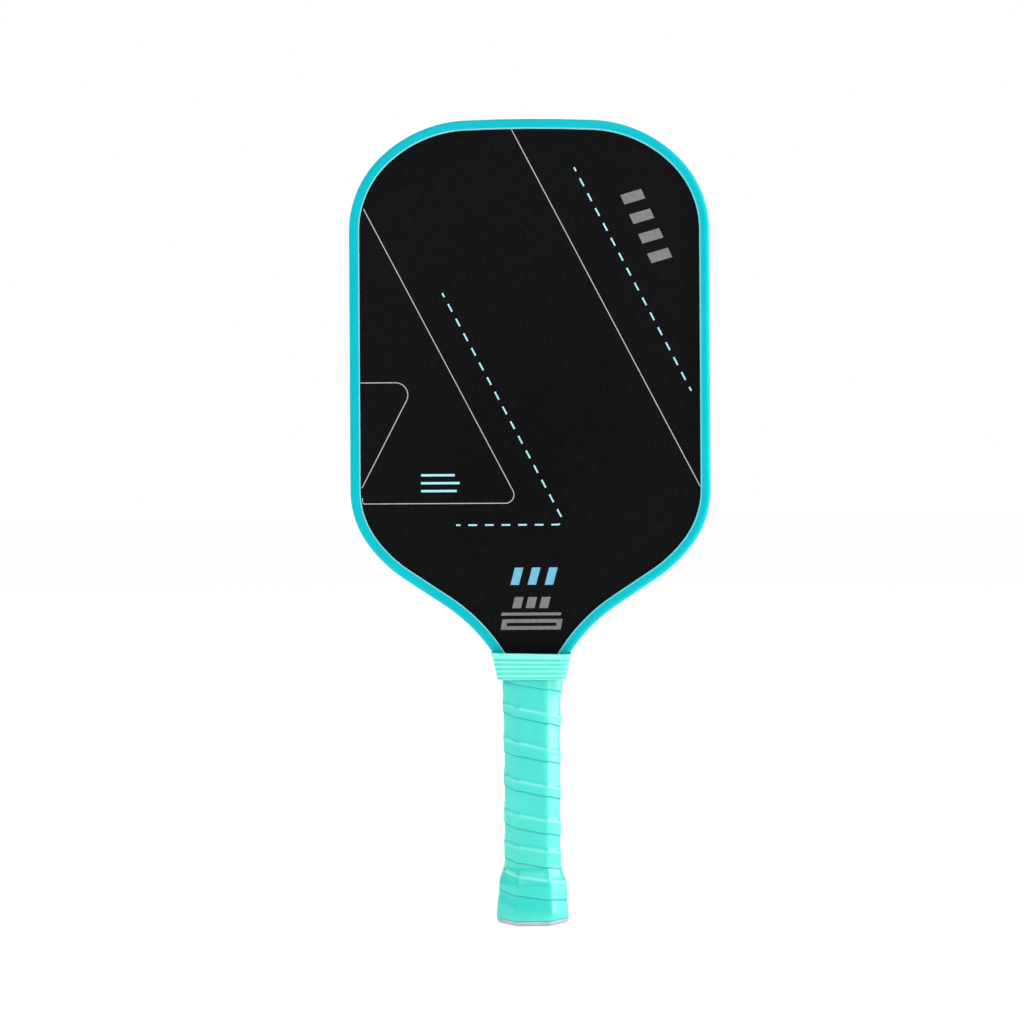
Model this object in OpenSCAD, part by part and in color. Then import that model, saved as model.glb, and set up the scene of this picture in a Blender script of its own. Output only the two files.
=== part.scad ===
// Pickleball paddle: honeycomb panel with bonded face sheets, edge guard, and a handle built
// from two shells, a butt cap, a cushion grip, an overgrip and a ribbed rubber collar.
// The origin is the centre of the butt's end face. +Z runs up the handle to the head,
// and the front face looks towards -Y. Millimetres.

/* [Head outline] */
// Overall length, from the butt's end face to the top of the edge guard
total_len = 417.6; // [400:0.1:430]
// Overall width across the edge guard
head_w = 187.4; // [180:0.1:194]
// Radius of the shallow crown along the top edge
crown_r = 779; // [600:1:1200]
// Radius of the upper part of each top corner
corner_upper_r = 67.6; // [60:0.1:72]
// Radius of the lower part of each top corner
corner_lower_r = 53.4; // [48:0.1:60]
// Slope of the outline where the two top corner radii meet, degrees
corner_split = 45.6; // [40:0.1:50]
// Length of the straight side
side_len = 134.7; // [125:0.1:145]
// Radius of the upper part of each shoulder
shoulder_upper_r = 47.7; // [40:0.1:55]
// Angle of the upper part of each shoulder, degrees
shoulder_upper_turn = 35.9; // [30:0.1:40]
// Radius of the lower part of each shoulder
shoulder_lower_r = 73.1; // [65:0.1:80]
// Angle of the lower part of each shoulder, degrees
shoulder_lower_turn = 20.6; // [16:0.1:24]
// Length of the straight between shoulder and throat
throat_straight = 24.5; // [15:0.1:30]
// Radius of the hollow curve into the throat
throat_r = 90; // [80:1:110]
// Angle of the hollow curve down to the collar, degrees
throat_turn = 26; // [25:0.5:27]

/* [Panel] */
// Thickness over both face sheets
panel_t = 16; // [14:0.5:18]
// Thickness of one face sheet
face_t = 0.4; // [0.3:0.05:0.6]
// Thickness of one bond film
film_t = 0.1; // [0.05:0.05:0.2]
// Width of the tongue that runs down inside the handle
tongue_w = 18.8; // [17:0.1:18.8]
// Radius of the hollow curve from the neck into the tongue
neck_r = 15; // [12:1:20]
// Honeycomb cell, across flats
cell_w = 12; // [10:1:20]
// Honeycomb wall between two cells
cell_wall = 0.8; // [0.6:0.1:1.5]

/* [Edge guard] */
// Thickness of the guard's wall outside the panel edge
guard_wall = 1.9; // [1.5:0.1:2.5]
// Thickness of each lip over a face
lip_t = 1.5; // [1.2:0.1:2]
// Width of each lip, from the guard's outermost edge
lip_w = 5.4; // [4.5:0.1:7]
// Radius of the guard's outer edges
guard_round = 2.6; // [1.5:0.1:3]
// Distance that the guard's outside steps in where its ends tuck into the collar
tail_inset = 0.8; // [0.8:0.05:1]
// Depth to which the guard's ends reach inside the collar
tail_depth = 1.6; // [0.8:0.1:1.6]
// Thickness of the adhesive strip under the guard
guard_tape_t = 0.3; // [0.2:0.05:0.4]

/* [Handle] */
// Width across the handle shells, without grips
handle_w = 25.9; // [25:0.1:27]
// Thickness across the handle shells, without grips
handle_t = 25; // [24:0.1:26]
// Leg of the shells' 45 degree corner facets
facet = 6.3; // [5:0.1:7]
// Height of the shells' top ends, under the collar
shell_top = 130.3; // [128:0.1:130.3]
// Thickness of the cushion grip
grip_t = 1.15; // [1:0.05:1.3]
// Thickness of the finishing tapes
tape_t = 0.15; // [0.1:0.05:0.2]
// Thickness that the overgrip's sleeve takes up
overgrip_t = 0.64; // [0.5:0.02:0.7]
// Height where the cushion grip ends under the collar
cushion_top = 132.3; // [131:0.1:132.3]
// Height where the grips start above the butt's rim
grip_bottom = 2.5; // [2:0.1:4]
// Height where the overgrip ends under the collar
grip_top = 136.9; // [134:0.1:136.9]

/* [Butt] */
// Height where the butt's flare begins
flare_top = 30; // [28:0.5:34]
// Height where the flare's steep part ends
flare_knee = 19; // [16:0.5:22]
// Growth on each side down to the knee
flare_grow = 2.75; // [2.5:0.05:4]
// Further growth on each side, from the knee to the heel
heel_grow = 1.35; // [0:0.05:1.5]
// Height of the heel, below which the flare is straight
heel_z = 5; // [4:0.5:8]
// Height of the butt cap's skirt
cap_h = 26; // [24:0.5:27]
// Thickness of the butt cap's floor
cap_floor = 3; // [2.5:0.1:4]
// Radius of the blank badge in the butt's end
badge_r = 9.5; // [6:0.5:11]

/* [Collar] */
// Width over the collar's top rim
collar_top_w = 42; // [40.4:0.1:42.4]
// Width over the collar's bottom edge
collar_bottom_w = 35.8; // [34.2:0.1:36.2]
// Thickness over the collar, front to back
collar_t = 32.6; // [32.6:0.1:34]
// Height of the collar's top rim
collar_top = 140.2; // [139.8:0.1:140.4]
// Height of the collar's bottom edge
collar_bottom = 126.6; // [126:0.1:127.4]
// Thickness of the collar's wall below its mouth
collar_wall = 1.3; // [1.1:0.1:1.35]
// Thickness of the collar's wall at its top rim
rim_wall = 0.9; // [0.7:0.05:0.9]
// Depth over which the collar's mouth widens to the rim
mouth_depth = 1.9; // [1.8:0.1:3]
// Distance between the collar's grooves
rib_pitch = 2.35; // [2:0.05:3]
// Depth of the collar's grooves
rib_depth = 0.55; // [0.3:0.05:0.7]

/* [Hidden] */

gap = 0.02;                                 // glue line between wrapped layers
fit = 0.05;                                 // clearance of the tongue and the cap's pocket
arc_step = 4;                               // degrees between points on a curved outline
hollow_step = 2;                            // the same on the hollow curves of throat and neck
half_head = head_w / 2;
half_handle_w = handle_w / 2;
half_handle_t = handle_t / 2;
edge_inset = guard_wall + guard_tape_t;     // from the guard's outer edge to the panel's edge
guard_t = panel_t + 2 * lip_t;
guard_end = collar_top + 0.3;
panel_bottom = cap_floor + 0.3;
collar_slope = (collar_top_w - collar_bottom_w) / 2 / (collar_top - collar_bottom);
throat_start = collar_bottom - 1.1;         // height where the handle starts to widen
throat_slope = 0.2425;                      // widening on each side, per height
layer_1 = gap + grip_t;                     // outside of the cushion grip, from the shells
layer_2 = layer_1 + gap + tape_t;           // outside of the cushion grip's tape
layer_3 = layer_2 + gap + overgrip_t;       // outside of the overgrip
layer_4 = layer_3 + gap + tape_t;           // outside of the overgrip's tape

// ---------- Outline, walked clockwise from the middle of the top edge ----------
// A run is [radius, turn] for an arc, clockwise when turn is positive, or [0, 0, length].
crown_turn = asin((half_head - corner_lower_r * (1 - sin(corner_split))
                   - corner_upper_r * sin(corner_split)) / (crown_r - corner_upper_r));
head_runs = [
    [crown_r, crown_turn],
    [corner_upper_r, corner_split - crown_turn],
    [corner_lower_r, 90 - corner_split],
    [0, 0, side_len],
    [shoulder_upper_r, shoulder_upper_turn],
    [shoulder_lower_r, shoulder_lower_turn],
    [0, 0, throat_straight],
    [throat_r, -throat_turn]
];

// Where a run ends, from its start [x, z, heading]
function run_end(s, run) =
    run[1] == 0 ? [s[0] + run[2] * cos(s[2]), s[1] + run[2] * sin(s[2]), s[2]]
    : let (c = run_centre(s, run), k = sign(run[1]) * run[0], h = s[2] - run[1])
      [c[0] - k * sin(h), c[1] + k * cos(h), h];
function run_centre(s, run) =
    let (k = sign(run[1]) * run[0]) [s[0] + k * sin(s[2]), s[1] - k * cos(s[2])];
function run_start(runs, i, s) = i == 0 ? s : run_end(run_start(runs, i - 1, s), runs[i - 1]);

// The same run on a line set inwards by inset
function inset_run(run, inset) =
    run[1] == 0 ? run : [run[0] - sign(run[1]) * inset, run[1]];

// Steps along an arc of that turn
function arc_count(turn) = ceil(abs(turn) / (turn < 0 ? hollow_step : arc_step));
// Points along a run, without its last one
function run_points(s, run) =
    run[1] == 0 ? [[s[0], s[1]]]
    : let (n = arc_count(run[1]))
      [for (i = [0 : n - 1])
          let (p = run_end(s, [run[0], run[1] * i / n + sign(run[1]) * 1e-9])) [p[0], p[1]]];

// From the head's outline on down the neck, then a hollow curve into the tongue's straight edge
throat_point = run_start(head_runs, len(head_runs), [0, total_len, 0]);
neck_turn = 90 + throat_point[2];
neck_narrowing = throat_point[0] - tongue_w / 2 - edge_inset;
neck_straight = (neck_narrowing - neck_r * (1 - cos(neck_turn))) / sin(-neck_turn);
panel_runs = concat(head_runs, [[0, 0, neck_straight], [neck_r, neck_turn]]);

// The panel's outline, set inwards by inset from the guard's outer edge
function panel_points(inset) =
    let (
        runs = [for (r = panel_runs) inset_run(r, inset)],
        start = [0, total_len - inset, 0],
        last = run_start(runs, len(runs), start),
        bottom = panel_bottom + inset - edge_inset,
        right = [for (i = [0 : len(runs) - 1], p = run_points(run_start(runs, i, start), runs[i])) p],
        half = concat(right, [[last[0], last[1]], [last[0], bottom]]),
        n = len(half)
    )
    concat(half, [for (i = [n - 1 : -1 : 1]) [-half[i][0], half[i][1]]]);

// Whether a point lies inside a closed outline
function crossings(p, pts) =
    [for (i = [0 : len(pts) - 1])
        let (a = pts[i], b = pts[(i + 1) % len(pts)])
            if ((a[1] > p[1]) != (b[1] > p[1])
                && p[0] < a[0] + (b[0] - a[0]) * (p[1] - a[1]) / (b[1] - a[1])) 1];
function inside(p, pts) = len(crossings(p, pts)) % 2 == 1;

// A plate of the panel's outline, from depth y0 to y1
module panel_plate(y0, y1) {
    translate([0, y1, 0]) rotate([90, 0, 0]) linear_extrude(y1 - y0)
        polygon(panel_points(edge_inset));
}

// ---------- Handle layers: eight-sided sections, stacked ----------
function flare(z) =
    z >= flare_top ? 0
    : z >= flare_knee ? flare_grow * (1 - cos(180 * (flare_top - z) / (flare_top - flare_knee))) / 2
    : flare_grow + heel_grow * min(1, (flare_knee - z) / (flare_knee - heel_z));
function throat_grow(z) = max(0, z - throat_start) * throat_slope;

// One section of the handle at height z, a distance d outside the shells
function handle_section(z, d) =
    let (
        w = half_handle_w + d + throat_grow(z),
        t = half_handle_t + d,
        leg = facet + d * (2 - sqrt(2))
    )
    [[w - leg, -t, z], [w, leg - t, z], [w, t - leg, z], [w - leg, t, z],
     [leg - w, t, z], [-w, t - leg, z], [-w, leg - t, z], [leg - w, -t, z]];

// A closed solid through rings of points, each ring running the same way round
module loft(rings) {
    n = len(rings[0]);
    m = len(rings);
    sides = [for (k = [0 : m - 2], i = [0 : n - 1])
        [k * n + i, (k + 1) * n + i, (k + 1) * n + (i + 1) % n, k * n + (i + 1) % n]];
    ends = [[for (i = [0 : n - 1]) i], [for (i = [n - 1 : -1 : 0]) (m - 1) * n + i]];
    polyhedron(points = [for (r = rings, p = r) p], faces = concat(sides, ends));
}

// Heights between z0 and z1 at which a handle layer needs a section
flare_steps = 6;
function layer_heights(z0, z1) =
    let (
        knees = concat([heel_z],
            [for (i = [0 : flare_steps]) flare_knee + i * (flare_top - flare_knee) / flare_steps],
            [throat_start])
    )
    concat([z0], [for (z = knees) if (z > z0 + 0.1 && z < z1 - 0.1) z], [z1]);

// A wrapped layer from z0 to z1, between distances d0 and d1 outside shells and cap
module wrapped_layer(z0, z1, d0, d1) {
    over = 1;
    difference() {
        loft([for (z = layer_heights(z0, z1)) handle_section(z, d1 + flare(z))]);
        loft([for (z = layer_heights(z0 - over, z1 + over)) handle_section(z, d0 + flare(z))]);
    }
}

// ---------- Panel ----------
module core_panel() {
    pitch = cell_w + cell_wall;
    column = pitch * cos(30);
    cell_r = cell_w / 2 / cos(30);
    columns = ceil(half_head / column);
    rows = ceil(total_len / pitch);
    cell_room = panel_points(edge_inset + cell_r + cell_wall);
    depth = panel_t - 2 * (face_t + film_t);
    color("#dcdad0")
    rotate([90, 0, 0]) linear_extrude(depth, center = true) difference() {
        polygon(panel_points(edge_inset));
        for (i = [-columns : columns], j = [1 : rows])
            let (p = [i * column, (j + (abs(i) % 2) / 2) * pitch])
                if (inside(p, cell_room))
                    translate(p) circle(r = cell_r, $fn = 6);
    }
}

module bond_film_front() {
    color("#b9a86a") panel_plate(-panel_t / 2 + face_t, -panel_t / 2 + face_t + film_t);
}

module bond_film_back() {
    color("#b9a86a") panel_plate(panel_t / 2 - face_t - film_t, panel_t / 2 - face_t);
}

module face_front() {
    color("#181a1b") panel_plate(-panel_t / 2, -panel_t / 2 + face_t);
}

module face_back() {
    color("#181a1b") panel_plate(panel_t / 2 - face_t, panel_t / 2);
}

// ---------- Edge guard ----------
// Section points [distance inwards from the outer edge, distance from the mid-plane]
function quarter(c, r, from, n) =
    [for (i = [0 : n]) let (a = from + i * 90 / n) [c[0] + r * cos(a), c[1] + r * sin(a)]];
bead_r = 0.4;
slot_rib = 1;                               // depth of the seat of the adhesive strip
guard_section = concat(
    quarter([guard_round, guard_round - guard_t / 2], guard_round, 180, 4),
    quarter([lip_w - bead_r, bead_r - guard_t / 2], bead_r, 270, 2),
    [[lip_w, -panel_t / 2], [edge_inset, -panel_t / 2],
     [edge_inset, slot_rib - panel_t / 2], [guard_wall, slot_rib - panel_t / 2],
     [guard_wall, panel_t / 2 - slot_rib], [edge_inset, panel_t / 2 - slot_rib],
     [edge_inset, panel_t / 2], [lip_w, panel_t / 2]],
    quarter([lip_w - bead_r, guard_t / 2 - bead_r], bead_r, 0, 2),
    quarter([guard_round, guard_t / 2 - guard_round], guard_round, 90, 4)
);
tail_step = 0.3;                            // height over which the guard's end steps in
strip_half = panel_t / 2 - slot_rib - 0.2;  // half the width of the adhesive strip
guard_tape_section = [
    [guard_wall + gap, -strip_half], [edge_inset - gap, -strip_half],
    [edge_inset - gap, strip_half], [guard_wall + gap, strip_half]
];

// The head's outline from the middle of the top edge to a level end in the throat, set inwards
function head_line(inset, end_z) =
    let (
        last = len(head_runs) - 1,
        runs = [for (r = head_runs) inset_run(r, inset)],
        start = [0, total_len - inset, 0],
        s = run_start(runs, last, start),
        c = run_centre(s, runs[last]),
        r = runs[last][0],
        end_heading = -acos((c[1] - end_z) / r),
        n = arc_count(-throat_turn)
    )
    concat(
        [for (i = [0 : last - 1], p = run_points(run_start(runs, i, start), runs[i])) p],
        [for (i = [0 : n])
            let (h = s[2] + (end_heading - s[2]) * i / n) [c[0] + r * sin(h), c[1] - r * cos(h)]]
    );
function last_point(line) = line[len(line) - 1];

// The guard's section line, and its continuation down the thinner tail
function guard_line(inset) =
    let (tail = max(inset, tail_inset))
    concat(head_line(inset, guard_end),
           [for (z = [guard_end - tail_step, collar_top - tail_depth])
               last_point(head_line(tail, z))]);

// Carries a section round the head along its lines, from the left end over the top to the right
module sweep_head(section, lines) {
    last = len(lines[0]) - 1;
    loft([for (i = [-last : last])
        [for (k = [0 : len(section) - 1])
            let (p = lines[k][abs(i)]) [i < 0 ? -p[0] : p[0], section[k][1], p[1]]]]);
}

module edge_guard() {
    color("#22c6cd") sweep_head(guard_section, [for (p = guard_section) guard_line(p[0])]);
}

module edge_guard_tape() {
    color("#e8e6df")
    sweep_head(guard_tape_section, [for (p = guard_tape_section) head_line(p[0], guard_end)]);
}

// ---------- Handle ----------
// One half of the handle round the tongue: side is -1 at the front and 1 at the back
module handle_shell(side) {
    reach = 60;
    difference() {
        loft([for (z = [cap_floor, throat_start, shell_top]) handle_section(z, 0)]);
        translate([0, panel_t / 2, 0]) rotate([90, 0, 0]) linear_extrude(panel_t)
            polygon(panel_points(edge_inset - fit));
        translate([-reach / 2, side < 0 ? 0 : -reach, -1]) cube([reach, reach, total_len]);
        staple_legs(fit);
    }
}

module handle_shell_front() {
    color("#3c4043") handle_shell(-1);
}

module handle_shell_back() {
    color("#4a4e52") handle_shell(1);
}

// ---------- Butt ----------
staple_z = 20;
staple_crown_w = 9;
staple_wire = 0.8;
staple_leg = 5;
staple_y = half_handle_t + flare(staple_z) - staple_wire;
rim_inset = 1.4;                            // the rim's rounded lower edge draws in this far
rim_out = flare(0) + 1.6;                   // the rim stands out under the grips' lower ends
rim_h = grip_bottom - 0.3;
rim_ledge = 0.1;                            // height over which the rim steps in to the skirt
badge_recess = 0.8;                         // depth of the badge's recess in the butt's end
badge_sink = 0.2;                           // from the butt's end face up to the badge
badge_room = 0.1;                           // clearance round the badge

// The legs of both staples, widened by room on each side
module staple_legs(room) {
    for (side = [-1, 1], x = [-1, 1] * (staple_crown_w - staple_wire) / 2)
        translate([x, side * (staple_y - staple_leg / 2), staple_z])
            cube([staple_wire, staple_leg, staple_wire] + [2, 2, 2] * room, center = true);
}

module staple_crowns(room) {
    for (side = [-1, 1])
        translate([0, side * (staple_y - staple_wire / 2), staple_z])
            cube([staple_crown_w, staple_wire, staple_wire] + [2, 2, 2] * room, center = true);
}

module butt_cap() {
    over = 1;
    color("#d9dfe6")
    difference() {
        loft(concat(
            [for (a = [0 : 22.5 : 90])
                handle_section(rim_inset * (1 - cos(a)),
                               rim_out - rim_inset * (1 - sin(a)))],
            [handle_section(rim_h, rim_out)],
            [for (z = layer_heights(rim_h + rim_ledge, cap_h)) handle_section(z, flare(z))]
        ));
        loft([for (z = [cap_floor, cap_h + over]) handle_section(z, fit)]);
        translate([0, 0, -over])
            cylinder(r = badge_r + badge_room, h = badge_recess + over, $fn = 96);
        staple_legs(fit);
        staple_crowns(fit);
        for (side = [-1, 1])
            translate([0, side * (staple_y + staple_wire), staple_z])
                cube([staple_crown_w, 2 * staple_wire, staple_wire] + [2, 2, 2] * fit, center = true);
    }
}

module butt_cap_staples() {
    color("silver") union() {
        staple_legs(0);
        staple_crowns(0);
    }
}

module butt_badge() {
    color("#20c3c6") translate([0, 0, badge_sink])
        cylinder(r = badge_r, h = badge_recess - badge_sink - gap, $fn = 96);
}

// ---------- Grips ----------
module base_grip() {
    color("#26292b") wrapped_layer(grip_bottom + 0.1, cushion_top, gap, layer_1);
}

module base_grip_tape() {
    color("#101213") wrapped_layer(collar_bottom + 0.9, cushion_top - 0.2, layer_1 + gap, layer_2);
}

module overgrip() {
    color("#48dccf") wrapped_layer(grip_bottom, grip_top, layer_2 + gap, layer_3);
}

module overgrip_tape() {
    color("#2fb7b3") wrapped_layer(collar_bottom + 3.5, grip_top + 0.7, layer_3 + gap, layer_4);
}

// ---------- Collar ----------
collar_flat = 29.4;                         // width of the collar's flat front and back
rim_band = 3.2;                             // plain band above the first groove

// How far the collar's surface lies inside its outer line at height z
function rib_dip(z) =
    let (below = collar_top - rim_band - z)
    below <= 0 ? 0 : rib_depth * (1 - abs(sin(180 * below / rib_pitch)));

// One section of the collar at height z, set inwards by d
function collar_section(z, d) =
    let (
        w = collar_bottom_w / 2 + (z - collar_bottom) * collar_slope - d,
        t = collar_t / 2 - d,
        a = w - collar_flat / 2 + d / 2,
        b = a * 1.1
    )
    [for (corner = [[1, -1, 270], [1, 1, 0], [-1, 1, 90], [-1, -1, 180]], i = [0 : 4])
        let (u = corner[2] + i * 90 / 4)
            [corner[0] * (w - a) + a * cos(u), corner[1] * (t - b) + b * sin(u), z]];

module grip_collar() {
    over = 1;
    ribs_top = collar_top - rim_band;
    heights = concat([for (z = [collar_bottom : rib_pitch / 6 : ribs_top]) z], [ribs_top, collar_top]);
    color("#74f2e2")
    difference() {
        loft([for (z = heights) collar_section(z, rib_dip(z))]);
        loft([for (level = [[collar_bottom - over, collar_wall],
                            [collar_top - mouth_depth, collar_wall],
                            [collar_top, rim_wall],
                            [collar_top + over, rim_wall]])
            collar_section(level[0], level[1])]);
    }
}

core_panel();
bond_film_front();
bond_film_back();
face_front();
face_back();
edge_guard_tape();
edge_guard();
handle_shell_front();
handle_shell_back();
butt_cap();
butt_cap_staples();
butt_badge();
base_grip();
base_grip_tape();
overgrip();
overgrip_tape();
grip_collar();
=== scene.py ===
"""Pickleball paddle: the looks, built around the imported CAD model.

Shapes are worked out in millimetres in the frame of the CAD and stored in metres.
+Z runs from the butt to the head, and the front face looks towards -Y.
"""
import math

import bmesh
import bpy
import numpy as np
from mathutils import Matrix, Vector, noise


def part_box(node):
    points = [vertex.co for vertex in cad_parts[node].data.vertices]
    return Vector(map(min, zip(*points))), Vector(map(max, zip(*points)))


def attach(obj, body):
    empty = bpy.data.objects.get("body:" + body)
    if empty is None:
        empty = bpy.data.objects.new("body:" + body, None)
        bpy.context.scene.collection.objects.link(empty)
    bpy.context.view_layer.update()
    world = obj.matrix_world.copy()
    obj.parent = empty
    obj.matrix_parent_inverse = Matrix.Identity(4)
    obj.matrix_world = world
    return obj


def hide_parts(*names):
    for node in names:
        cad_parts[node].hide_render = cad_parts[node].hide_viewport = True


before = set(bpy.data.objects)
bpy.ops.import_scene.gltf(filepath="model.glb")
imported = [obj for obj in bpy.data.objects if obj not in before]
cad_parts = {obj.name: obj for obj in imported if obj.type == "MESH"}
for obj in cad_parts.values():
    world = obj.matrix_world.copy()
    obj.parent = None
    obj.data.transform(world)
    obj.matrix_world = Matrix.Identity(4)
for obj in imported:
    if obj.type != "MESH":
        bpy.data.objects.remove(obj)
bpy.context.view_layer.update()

MM = 0.001
scene = bpy.context.scene


# ---------- Driving dimensions, in millimetres ----------
def box_mm(node):
    """Lowest and highest corner of a CAD node."""
    low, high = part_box(node)
    return [v / MM for v in low], [v / MM for v in high]


guard_low, guard_high = box_mm("edge_guard")
face_low, _ = box_mm("face_front")
shell_low, _ = box_mm("handle_shell_front")
grip_low, grip_high = box_mm("overgrip")
tape_low, tape_high = box_mm("overgrip_tape")
collar_low, collar_high = box_mm("grip_collar")
_, cap_high = box_mm("butt_cap")
badge_low, badge_high = box_mm("butt_badge")

# Head outline: the radii and turns of the CAD's outline
TOTAL_LEN = guard_high[2]
HALF_HEAD = guard_high[0]
CROWN_R = 779
CORNER_UPPER_R = 67.6
CORNER_LOWER_R = 53.4
CORNER_SPLIT = 45.6
SIDE_LEN = 134.7
SHOULDER_UPPER = (47.7, 35.9)
SHOULDER_LOWER = (73.1, 20.6)
THROAT_STRAIGHT = 24.5
THROAT = (90, -26)

# Edge guard section
HALF_GUARD_T = guard_high[1]
FACE_Y = face_low[1]
GUARD_ROUND = 2.6
GUARD_WALL = 1.9
EDGE_INSET = 2.2
LIP_W = 5.4
BEAD_R = 0.45
SEAT_RIB = 1.0
TAIL_INSET = 0.8             # how far the ends step in where they tuck into the collar
TAIL_STEP = 0.3              # height of that step, which starts as far above the collar

# Handle section without grips, its 45 degree facet and its flare
HALF_W = 12.95
HALF_T = -shell_low[1]
FACET = 6.3
FLARE_TOP = 30
FLARE_KNEE = 19
FLARE_GROW = 2.75
HEEL_GROW = 1.35
HEEL_Z = 5
COLLAR_BOTTOM = collar_low[2]
COLLAR_TOP = collar_high[2]
THROAT_Z = COLLAR_BOTTOM - 1.1
THROAT_SLOPE = 0.2425


# ---------- Small geometry tools ----------
def sin(degrees):
    return math.sin(math.radians(degrees))


def cos(degrees):
    return math.cos(math.radians(degrees))


def smoothstep(x):
    x = min(1.0, max(0.0, x))
    return x * x * (3 - 2 * x)


def hump(x, spread):
    """A bell curve that is 1 where x is 0; x may be an array."""
    return np.exp(-(x / spread) ** 2)


def add_mesh(name, points, faces, sharp=38):
    """A closed mesh from points in millimetres, smooth except along edges sharper than sharp."""
    mesh = bpy.data.meshes.new(name)
    mesh.from_pydata([[c * MM for c in p] for p in points], [], faces)
    work = bmesh.new()
    work.from_mesh(mesh)
    bmesh.ops.recalc_face_normals(work, faces=work.faces)
    for face in work.faces:
        face.smooth = True
    for edge in work.edges:
        edge.smooth = edge.calc_face_angle(0) < math.radians(sharp)
    work.to_mesh(mesh)
    work.free()
    obj = bpy.data.objects.new(name, mesh)
    scene.collection.objects.link(obj)
    return obj


def add_values(obj, name, values):
    """A value at each point of the piece, which its material reads by that name."""
    obj.data.attributes.new(name, "FLOAT", "POINT").data.foreach_set("value", values)


def join_rings(rings, ends=True, loop=False):
    """Points and faces of a skin through rings of points, each running the same way round."""
    n = len(rings[0])
    m = len(rings)
    points = [p for ring in rings for p in ring]
    faces = []
    for k in range(m if loop else m - 1):
        for i in range(n):
            j = (i + 1) % n
            up = (k + 1) % m
            faces.append((k * n + i, up * n + i, up * n + j, k * n + j))
    if ends and not loop:
        faces.append(tuple(range(n)))
        faces.append(tuple((m - 1) * n + i for i in reversed(range(n))))
    return points, faces


def arc(cx, cy, r, start, turn, steps):
    return [(cx + r * cos(start + turn * i / steps), cy + r * sin(start + turn * i / steps))
            for i in range(steps + 1)]


def circle(radius, z, sides):
    return [(radius * cos(360 * k / sides), radius * sin(360 * k / sides), z)
            for k in range(sides)]


# ---------- Head outline, walked clockwise from the middle of the top edge ----------
crown_turn = math.degrees(math.asin(
    (HALF_HEAD - CORNER_LOWER_R * (1 - sin(CORNER_SPLIT)) - CORNER_UPPER_R * sin(CORNER_SPLIT))
    / (CROWN_R - CORNER_UPPER_R)))
# Each run is (radius, turn) for an arc, clockwise when turn is positive, or (None, length)
HEAD_RUNS = [
    (CROWN_R, crown_turn),
    (CORNER_UPPER_R, CORNER_SPLIT - crown_turn),
    (CORNER_LOWER_R, 90 - CORNER_SPLIT),
    (None, SIDE_LEN),
    SHOULDER_UPPER,
    SHOULDER_LOWER,
    (None, THROAT_STRAIGHT),
]
ARC_STEP = 1.5
STRAIGHT_STEP = 6


def walk_run(start, run, inset, steps):
    """The points of one run from start = (x, z, heading), set inwards by inset."""
    x, z, heading = start
    radius, turn = run
    if radius is None:
        return [(x + turn * cos(heading) * i / steps, z + turn * sin(heading) * i / steps, heading)
                for i in range(steps + 1)]
    k = math.copysign(radius, turn) - inset
    cx = x + k * sin(heading)
    cz = z - k * cos(heading)
    return [(cx - k * sin(h), cz + k * cos(h), h)
            for h in (heading - turn * i / steps for i in range(steps + 1))]


def head_line(inset, end_z):
    """The head's outline from the middle of the top to a level end in the throat, set inwards."""
    line = [(0, TOTAL_LEN - inset, 0)]
    for run in HEAD_RUNS:
        length = run[1] / STRAIGHT_STEP if run[0] is None else abs(run[1]) / ARC_STEP
        line += walk_run(line[-1], run, inset, math.ceil(length))[1:]
    x, z, heading = line[-1]
    radius = THROAT[0] + inset
    cx = x - radius * sin(heading)
    cz = z + radius * cos(heading)
    last = -math.degrees(math.acos((cz - end_z) / radius))
    steps = math.ceil(abs(THROAT[1]) / ARC_STEP)
    for i in range(1, steps + 1):
        h = heading + (last - heading) * i / steps
        line.append((cx + radius * sin(h), cz - radius * cos(h), h))
    return [(x, z) for x, z, _ in line]


# ---------- Edge guard ----------
def guard_section():
    """Section of the guard as (inwards from the outer edge, away from the mid-plane)."""
    front = []
    front += arc(GUARD_ROUND, GUARD_ROUND - HALF_GUARD_T, GUARD_ROUND, 180, 90, 8)
    front += [(3.3, 0.05 - HALF_GUARD_T), (4.0, 0.12 - HALF_GUARD_T)]
    front += arc(LIP_W - BEAD_R, BEAD_R + 0.06 - HALF_GUARD_T, BEAD_R, 250, 110, 5)
    front += [(LIP_W, FACE_Y), (EDGE_INSET, FACE_Y),
              (EDGE_INSET, FACE_Y + SEAT_RIB), (GUARD_WALL, FACE_Y + SEAT_RIB)]
    back = [(d, -y) for d, y in reversed(front)]
    return front + back


def guard_line(inset):
    """The line of one section point, then down the thinner tail inside the collar."""
    end_z = COLLAR_TOP + TAIL_STEP
    tail = max(inset, TAIL_INSET)
    tail_points = [head_line(tail, z)[-1] for z in (end_z - TAIL_STEP, guard_low[2])]
    return head_line(inset, end_z) + tail_points


def make_edge_guard():
    section = guard_section()
    lines = [guard_line(d) for d, _ in section]
    last = len(lines[0]) - 1
    rings = []
    for i in range(-last, last + 1):
        side = -1 if i < 0 else 1
        rings.append([(side * line[abs(i)][0], y, line[abs(i)][1])
                      for line, (_, y) in zip(lines, section)])
    guard = add_mesh("guard_channel", *join_rings(rings), sharp=50)
    # painted highlight: the inner bead of the lip is marked for a lighter colour
    bead_highlight = [1.0 if d > LIP_W - BEAD_R and abs(y) > abs(FACE_Y) + 0.1 else 0.0 for d, y in section]
    add_values(guard, "bead_highlight", bead_highlight * len(rings))
    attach(guard, "paddle")
    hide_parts("edge_guard")
    return guard


# ---------- Handle section: an octagon with rounded corners ----------
CORNER_STEPS = 5
FLAT_STEPS = 5
NORMALS = [180, 135, 90, 45, 0, -45, -90, -135]     # outward directions of the facets, from the left
MID_HANDLE = (80.0, 1.5, 1.5)                       # height, distance and corner radius of a plain stretch


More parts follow.
